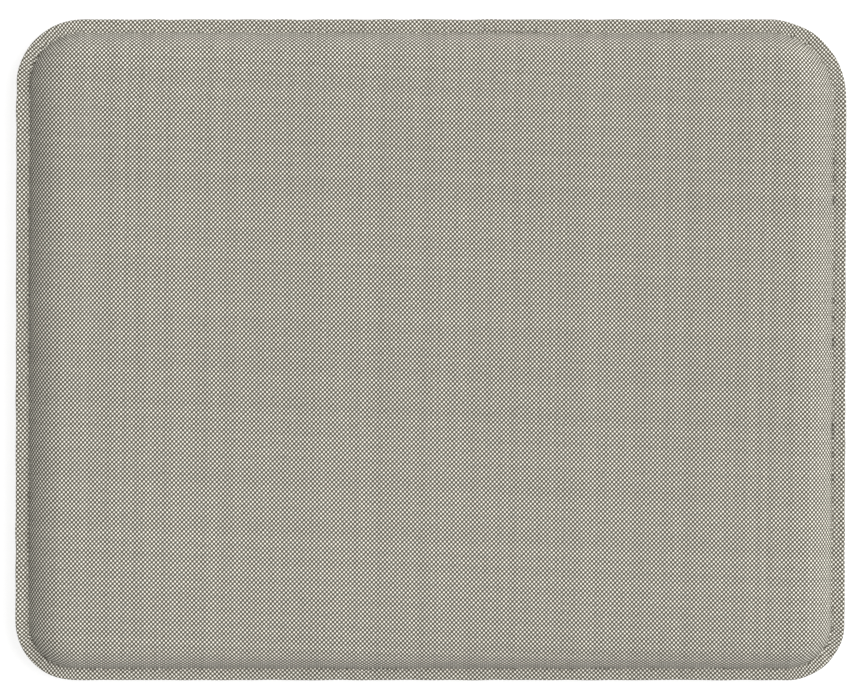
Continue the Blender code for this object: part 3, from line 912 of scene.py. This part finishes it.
def zip_lip(outside):
    """Rings of the underside's turned lip, from the opening to the flat or back."""
    radius = FOLD_RADIUS if outside else LAYER_GAP / 2
    depth = 0.0 if outside else FABRIC
    low = LIP_FOLD_Z - FOLD_RADIUS + depth
    places = [(RECESS_SPREAD, depth)]
    for share in RECESS_SHARES:
        spread = RECESS_SPREAD + (LIP_FLAT - RECESS_SPREAD) * share
        rise = float(smooth_step(0, 1, share))
        places.append((spread, depth + (low - depth) * rise))
    places.append((LIP_FLAT, low))
    for step in range(FOLD_STEPS + 1):
        angle = math.pi * step / FOLD_STEPS
        spread = FOLD_RADIUS - radius * math.sin(angle)
        places.append((spread, LIP_FOLD_Z - radius * math.cos(angle)))
    places.append((LIP_TURN, LIP_FOLD_Z + radius))
    made = zip_rings(places)
    return made[::-1] if outside else made


def split_underside(whole):
    """Cut the underside along the zip into its front and rear panels."""
    halves = []
    for name, side in (("cover_bottom_front", 1), ("cover_bottom_rear", -1)):
        bm = bmesh.new()
        bm.from_mesh(whole.data)
        bmesh.ops.bisect_plane(
            bm,
            geom=bm.verts[:] + bm.edges[:] + bm.faces[:],
            plane_co=(0, ZIP_Y - side * CLEARANCE / 2, 0),
            plane_no=(0, side, 0),
            clear_outer=True,
        )
        maps = list(bm.loops.layers.uv.values())
        rim = [edge for edge in bm.edges if edge.is_boundary]
        filled = bmesh.ops.edgeloop_fill(bm, edges=rim)["faces"]
        for face in filled:
            for loop in face.loops:
                known = next(other for other in loop.vert.link_loops if other.face not in filled)
                for layer in maps:
                    loop[layer].uv = known[layer].uv
        bmesh.ops.recalc_face_normals(bm, faces=bm.faces)
        mesh = bpy.data.meshes.new(name)
        bm.to_mesh(mesh)
        bm.free()
        mesh.materials.append(whole.data.materials[0])
        halves.append(linked(name, mesh))
    bpy.data.objects.remove(whole)
    return halves


def wadding_sheet(name, side, material):
    """One sheet of wadding, over the foam's edge. The lower one is open over the zip."""
    edge, skin = EDGES[1], Skin()
    shoulder = edge.shoulder(side, FILLING_STEPS)
    near, far = WADDING_DEPTH, WADDING_DEPTH + WADDING
    outside = approach(side, 1, near) + edge.rings(inward(shoulder, side, near)[::-1])
    inside = edge.rings(inward(shoulder, side, far)) + approach(side, 1, far)[::-1]
    if side > 0:
        ring = skin.add(outside[0])
        skin.cap(ring, lambda flat: level(1, flat, near))
        ring = skin.run(ring, outside[1:] + inside)
        skin.cap(ring, lambda flat: level(1, flat, far), upwards=False)
    else:
        slot = zip_rings(((GROOVE_SPREAD, near), (GROOVE_SPREAD, far)))
        first = skin.add(slot[0])
        ring = skin.run(first, outside + inside + slot[1:])
        skin.band(ring, first)
    return skin.build(name, material, side)


def foam_block(name, material):
    """The foam, with the groove over the zip."""
    edge, skin = EDGES[1], Skin()
    lower = inward(edge.shoulder(-1, FILLING_STEPS), -1, FOAM_DEPTH)
    upper = inward(edge.shoulder(1, FILLING_STEPS), 1, FOAM_DEPTH)
    groove = zip_rings((
        (GROOVE_SPREAD - GROOVE_EASE, GROOVE_Z),
        (GROOVE_SPREAD, GROOVE_Z - GROOVE_EASE),
        (GROOVE_SPREAD, FOAM_DEPTH + GROOVE_EASE),
        (GROOVE_SPREAD + GROOVE_EASE, FOAM_DEPTH),
    ))
    ring = skin.add(groove[0])
    skin.cap(ring, lambda flat: at_height(flat, GROOVE_Z))
    ring = skin.run(ring, groove[1:] + approach(-1, 1, FOAM_DEPTH))
    ring = skin.run(ring, edge.rings(lower[::-1] + upper) + approach(1, 1, FOAM_DEPTH)[::-1])
    skin.cap(ring, lambda flat: level(1, flat, FOAM_DEPTH), upwards=False)
    return skin.build(name, material, -1)


# Threads, coils and tapes


def tubes(name, centres, ups, radii, material, sides=8):
    """Round tubes along many paths at once.

    centres is (path, step, 3), ups the direction that each step's section turns up to,
    and radii the radius at each step. The map Thread is the way along, and round.
    """
    paths, steps = centres.shape[:2]
    forward = unit(np.gradient(centres, axis=1))
    beside = unit(np.cross(forward, ups))
    above = np.cross(beside, forward)
    angles = math.tau * np.arange(sides) / sides
    turned = np.cos(angles)[:, None] * beside[:, :, None]
    turned = turned + np.sin(angles)[:, None] * above[:, :, None]
    radii = np.broadcast_to(radii, (paths, steps))
    points = centres[:, :, None] + radii[:, :, None, None] * turned
    number = np.arange(paths * steps * sides).reshape(paths, steps, sides)
    faces = grid_faces(number, np.roll(number, -1, axis=2)).tolist()
    faces += number[:, 0].tolist() + number[:, -1, ::-1].tolist()
    lengths = np.linalg.norm(np.diff(centres, axis=1), axis=2)
    way = np.concatenate((np.zeros((paths, 1)), np.cumsum(lengths, 1)), 1)
    way = np.broadcast_to(way[:, :, None], (paths, steps, sides))
    round_it = np.broadcast_to(np.arange(sides) / sides, way.shape)
    here, ahead = slice(None, -1), slice(1, None)
    corners = []
    for step, turn in ((here, 0), (ahead, 0), (ahead, 1), (here, 1)):
        corners.append(np.stack((way[:, step], round_it[:, step] + turn / sides), -1))
    spots = np.stack(corners, 3).reshape(-1, 2)
    ends = np.zeros((2 * paths * sides, 2))
    maps = {"Thread": np.concatenate((spots, ends))}
    return add_object(name, points.reshape(-1, 3), faces, material, maps)


def stitches(name, path, ups, pitch, diameter, lift, material):
    """A line of machine stitches round a closed path: each rises out of one hole into the next."""
    closed = np.concatenate((path, path[:1]))
    lengths = np.linalg.norm(np.diff(closed, axis=0), axis=1)
    way = np.concatenate(((0,), np.cumsum(lengths)))
    count = round(way[-1] / pitch)
    share = np.linspace(STITCH_GAP / 2, 1 - STITCH_GAP / 2, STITCH_STEPS)
    places = (np.arange(count)[:, None] + share) / count * way[-1]
    centres = np.stack([np.interp(places, way, closed[:, axis]) for axis in range(3)], -1)
    arch = np.sin(np.pi * np.linspace(0, 1, STITCH_STEPS)) ** 0.5
    centres += (lift * arch - diameter / 2)[None, :, None] * np.asarray(ups)
    radii = diameter / 2 * (STITCH_TAPER + (1 - STITCH_TAPER) * arch)
    return tubes(name, centres, np.broadcast_to(ups, centres.shape), radii, material)


def flange_stitches(name, side, material):
    """The top stitching on one face of the flange."""
    edge = EDGES[4]
    inset = edge.width - STITCH_MARGIN
    path = lean(edge.ring(inset, edge.flange_z(inset, side * (FLANGE_FACE - STITCH_DENT))))
    return stitches(name, path, (0, 0, side), STITCH_PITCH, NEEDLE_THREAD, STITCH_LIFT, material)


def edge_seam(name, material):
    """The first seam, which holds the two panels together inside the flange's edge."""
    edge = EDGES[4]
    inset = edge.wobble + EDGE_THREAD
    path = lean(edge.ring(inset, edge.flange_z(inset, 0)))
    return stitches(name, path, (0, 0, 1), STITCH_PITCH, EDGE_THREAD, EDGE_SEAM_LIFT, material)


def parting(x):
    """How far the slider's wedge holds each side of the zip off the middle line."""
    closed = smooth_step(PARTING_END_X + PARTING_HOLD, OPENING_HALF_LENGTH, x)
    return PARTING * smooth_step(PARTING_START_X, PARTING_END_X, x) * (1 - closed)


def zip_coil(name, side, material):
    """One side's coil: flattened turns of nylon whose heads reach across the middle."""
    low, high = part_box("zip_coil_rear")
    start = low[0] + COIL_WIRE / 2 + (COIL_PITCH / 2 if side > 0 else 0)
    turns = int((high[0] - COIL_WIRE / 2 - start) / COIL_PITCH)
    angle = math.tau * np.linspace(0, turns, turns * COIL_STEPS + 1)
    x = start + angle / math.tau * COIL_PITCH
    middle = (COIL_REACH - COIL_OVERLAP) / 2
    half = (COIL_REACH + COIL_OVERLAP - COIL_WIRE) / 2
    y = middle - half * np.cos(angle) + parting(x)
    tall = (high[2] - low[2] - COIL_WIRE) / 2
    z = (low[2] + high[2]) / 2 + tall * np.sin(angle)
    centres = np.column_stack((x, ZIP_Y + side * y, z))[None]
    outward = np.column_stack((np.zeros(len(x)), -side * np.cos(angle), np.sin(angle)))[None]
    head = smooth_step(0.2, 1.0, np.cos(angle))
    radii = COIL_WIRE / 2 * (1 + COIL_HEAD * head)
    return tubes(name, centres, outward, radii[None], material, sides=COIL_SIDES)


def zip_tape(name, side, material):
    """One tape: a long strip with a thick inner edge, eased apart under the slider."""
    low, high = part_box("zip_tape_rear")
    parted = np.linspace(PARTING_START_X, OPENING_HALF_LENGTH, PARTING_STOPS)
    x = np.unique(np.concatenate((np.linspace(low[0], high[0], TAPE_STOPS), parted)))
    inner, outer = low[1] - ZIP_Y, high[1] - ZIP_Y
    middle, half = (low[2] + high[2]) / 2, (high[2] - low[2]) / 2
    shape = [(inner + run, rise) for run, rise in TAPE_INNER]
    shape += [(outer - run, rise) for run, rise in TAPE_OUTER]
    section = shape + [(y, -rise) for y, rise in reversed(shape[1:])]
    points = []
    for y, rise in section:
        share = (outer - y) / (outer - inner)
        across = ZIP_Y + side * (y + parting(x) * share)
        points.append(np.column_stack((x, across, np.full(len(x), middle + half * rise))))
    points = np.stack(points, 1)
    stops, count = points.shape[:2]
    number = np.arange(stops * count).reshape(stops, count)
    faces = grid_faces(number, np.roll(number, -1, axis=1)).tolist()
    faces += [number[0].tolist(), number[-1, ::-1].tolist()]
    if side < 0:
        faces = [face[::-1] for face in faces]
    made = add_object(name, points.reshape(-1, 3), faces, material, {})
    made.data.set_sharp_from_angle(angle=math.radians(TAPE_CREASE))
    return made


def zip_stitches(name, material):
    """The seam that sews the tapes to the lips."""
    path = zip_rings(((ZIP_STITCH_SPREAD, LIP_FOLD_Z - FOLD_RADIUS),))[0]
    down = (0, 0, -1)
    return stitches(name, path, down, ZIP_STITCH_PITCH, NEEDLE_THREAD, ZIP_STITCH_LIFT, material)


def bar_tack(name, node, material):
    """A dense zigzag of thread across one end of the zip."""
    low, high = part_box(node)
    runs = 2 * BAR_ZIGS
    corner = np.arange(runs + 1)
    fine = np.linspace(0, runs, runs * BAR_STEPS + 1)
    x = np.interp(fine, corner, np.where(corner % 2 == 0, low[0], high[0]))
    y = np.interp(fine, corner, low[1] + (high[1] - low[1]) * corner / runs)
    z = high[2] - BAR_THREAD / 2 - BAR_THREAD / 2 * np.abs(np.sin(math.pi * fine))
    middle = (low[0] + high[0]) / 2
    x = middle + (x - middle) * (1 - BAR_THREAD / (high[0] - low[0]))
    centres = np.column_stack((x, y, z))[None]
    ups = np.broadcast_to((0, 0, -1.0), centres.shape)
    return tubes(name, centres, ups, BAR_THREAD / 2, material)


def ribbon(name, node, material):
    """The blank label: a piece of ribbon with soft edges and a slight curl."""
    low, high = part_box(node)
    along, across = LABEL_STOPS
    u, v = np.meshgrid(np.linspace(-1, 1, along), np.linspace(-1, 1, across), indexing="ij")
    x = (low[0] + high[0]) / 2 + u * (high[0] - low[0]) / 2
    y = (low[1] + high[1]) / 2 + v * (high[1] - low[1]) / 2
    thick = (high[2] - low[2]) / 2
    curl = LABEL_CURL * smooth_step(0.0, 1.0, v) + LABEL_WAVE * np.cos(5 * u + 1)
    soft = np.minimum(1, 6 * (1 - np.maximum(np.abs(u), np.abs(v)))) ** 0.5
    top = np.stack((x, y, low[2] + thick + curl + thick * (0.3 + 0.7 * soft)), -1)
    bottom = np.stack((x, y, low[2] + thick + curl - thick * (0.3 + 0.7 * soft)), -1)
    points = np.concatenate((top.reshape(-1, 3), bottom.reshape(-1, 3)))
    number = np.arange(along * across).reshape(along, across)
    quads = grid_faces(number[:, :-1], number[:, 1:])
    rim = (number[:-1, 0], number[-1, :-1], number[:0:-1, -1], number[0, :0:-1])
    rim = np.concatenate(rim)
    after = np.roll(rim, -1)
    below = along * across
    sides = np.stack((rim, rim + below, after + below, after), 1)
    faces = quads.tolist() + (quads[:, ::-1] + below).tolist() + sides.tolist()
    return add_object(name, points, faces, material, {})


def ease_edges(node, width, material):
    """Give a carried-over CAD node eased edges and its own material."""
    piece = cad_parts[node]
    piece.modifiers.new("joined", "WELD").merge_threshold = WELD_REACH
    edge = piece.modifiers.new("eased", "BEVEL")
    edge.width = width
    edge.segments = EASED_SEGMENTS
    edge.limit_method = "ANGLE"
    edge.angle_limit = math.radians(EASED_ANGLE)
    edge.use_clamp_overlap = True
    for slot in piece.material_slots:
        slot.material = material


EDGES = {density: Edge(density) for density in (1, 2, 4)}


def make_cover():
    canvas = canvas_material()
    top = panel("cover_top", 1, TOP_DETAIL, canvas)
    hand_over(top, "top_panel")
    whole = panel("underside", -1, UNDERSIDE_DETAIL, canvas)
    for half, node in zip(split_underside(whole), ("bottom_panel_front", "bottom_panel_rear")):
        hand_over(half, node)


def make_filling():
    wadding = wadding_material()
    for name, side in (("wadding_top", 1), ("wadding_bottom", -1)):
        sheet = wadding_sheet(name + "_fibre", side, wadding)
        hand_over(sheet, name)
    foam = foam_block("foam_block", foam_material())
    hand_over(foam, "foam_core")


def make_threads():
    thread = thread_material()
    top = flange_stitches("flange_stitches_top", 1, thread)
    hand_over(top, "flange_needle_thread")
    under = flange_stitches("flange_stitches_under", -1, thread)
    hand_over(under, "flange_bobbin_thread")
    hand_over(edge_seam("edge_seam", thread), "edge_seam_thread")
    hand_over(zip_stitches("zip_stitches", thread), "zip_stitch_thread")
    for end in ("left", "right"):
        node = "zip_bar_tack_" + end
        hand_over(bar_tack("bar_tack_" + end, node, thread), node)


def make_zip():
    tape, coil, steel = tape_material(), coil_material(), steel_material()
    for end, side in (("rear", 1), ("front", -1)):
        hand_over(zip_tape("tape_" + end, side, tape), "zip_tape_" + end)
        hand_over(zip_coil("coil_" + end, side, coil), "zip_coil_" + end)
    for node, width in EASED_EDGES.items():
        ease_edges(node, width, steel)
    label = ribbon("label", "care_label", label_material())
    hand_over(label, "care_label")


make_cover()
make_filling()
make_threads()
make_zip()


# View and light


def add_camera():
    """Far above the pad with a long lens, tilted a little towards the rear edge."""
    data = bpy.data.cameras.new("camera")
    data.lens = SENSOR * CAMERA_DISTANCE / VIEW_WIDTH
    data.sensor_width = SENSOR
    data.clip_end = 4 * CAMERA_DISTANCE
    camera = linked("camera", data)
    tilt = math.radians(CAMERA_TILT)
    back, up = CAMERA_DISTANCE * math.sin(tilt), CAMERA_DISTANCE * math.cos(tilt)
    camera.location = (0, back, VIEW_HEIGHT + up)
    camera.rotation_euler = (-tilt, 0, 0)
    bpy.context.scene.camera = camera


def add_light():
    """A pale studio: an even dome, and a broad soft key from the right."""
    world = bpy.data.worlds.new("studio")
    world.use_nodes = True
    tree = world.node_tree
    sky = tree.nodes["Background"]
    sky.inputs["Color"].default_value = SKY
    place = tree.nodes.new("ShaderNodeTexCoord")
    parts = tree.nodes.new("ShaderNodeSeparateXYZ")
    level = tree.nodes.new("ShaderNodeMapRange")
    level.inputs["To Min"].default_value = SKY_LEVEL
    level.inputs["To Max"].default_value = SKY_LEVEL + SKY_RISE
    tree.links.new(place.outputs["Generated"], parts.inputs[0])
    tree.links.new(parts.outputs["Z"], level.inputs["Value"])
    tree.links.new(level.outputs[0], sky.inputs["Strength"])
    bpy.context.scene.world = world
    data = bpy.data.lights.new("key", "SUN")
    data.energy = KEY_STRENGTH
    data.angle = math.radians(KEY_SOFTNESS)
    key = linked("key", data)
    key.rotation_euler = (0, math.radians(90 - KEY_ELEVATION), math.radians(KEY_AZIMUTH))
    bpy.context.scene.view_settings.view_transform = "Standard"


def add_floor():
    half = FLOOR_SIZE / 2
    points = np.array([(-half, -half, 0), (half, -half, 0), (half, half, 0), (-half, half, 0)])
    floor = add_object("floor", points, [(0, 1, 2, 3)], floor_material(), {})


add_camera()
add_light()
add_floor()
